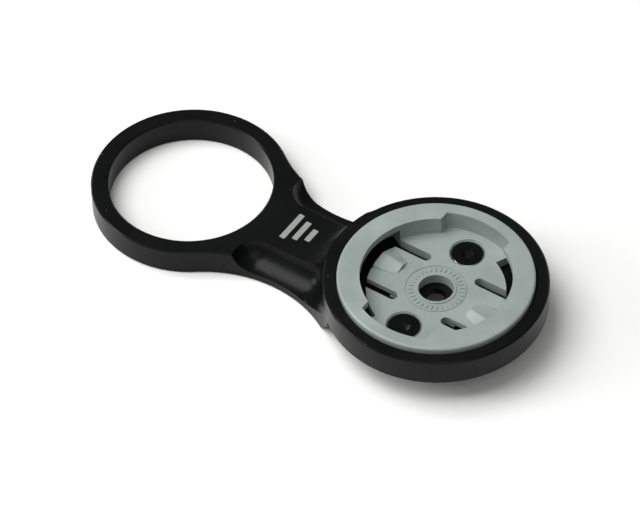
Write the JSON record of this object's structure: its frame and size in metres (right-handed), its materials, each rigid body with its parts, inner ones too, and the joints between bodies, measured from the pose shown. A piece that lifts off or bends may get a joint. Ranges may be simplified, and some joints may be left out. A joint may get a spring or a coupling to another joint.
{
  "type": "cycling computer mount",
  "caption": "Flat steerer-tube ring with a waisted neck and a raised round cup that holds a quarter-turn socket insert.",
  "frame": {"origin": "centre of the steerer-tube bore, at mid-height of the ring", "axes": "+Z along the bore, out of the socket's open side; +X from the bore towards the socket"},
  "size_m": [0.0868, 0.0382, 0.0107],
  "materials": {
    "anodised_aluminium": "black anodised, satin",
    "grey_plastic": "moulded acetal, satin",
    "black_steel": "black oxide"
  },
  "bodies": {
    "mount": {"mount_body": "anodised_aluminium", "insert": "grey_plastic", "insert_screw_left": "black_steel", "insert_screw_right": "black_steel"},
    "rear_tongue": {"detent_tongue_rear": "grey_plastic"},
    "front_tongue": {"detent_tongue_front": "grey_plastic"}
  },
  "joints": [
    {"name": "rear_tongue_flex", "type": "hinge", "parent": "mount", "child": "rear_tongue", "pos_m": [0.04405, 0, 0.00425], "axis": [0, -1, 0], "range_deg": [0, 5], "stiffness_Nm_per_rad": 0.05},
    {"name": "front_tongue_flex", "type": "hinge", "parent": "mount", "child": "front_tongue", "pos_m": [0.05685, 0, 0.00425], "axis": [0, 1, 0], "range_deg": [0, 5], "stiffness_Nm_per_rad": 0.05}
  ]
}
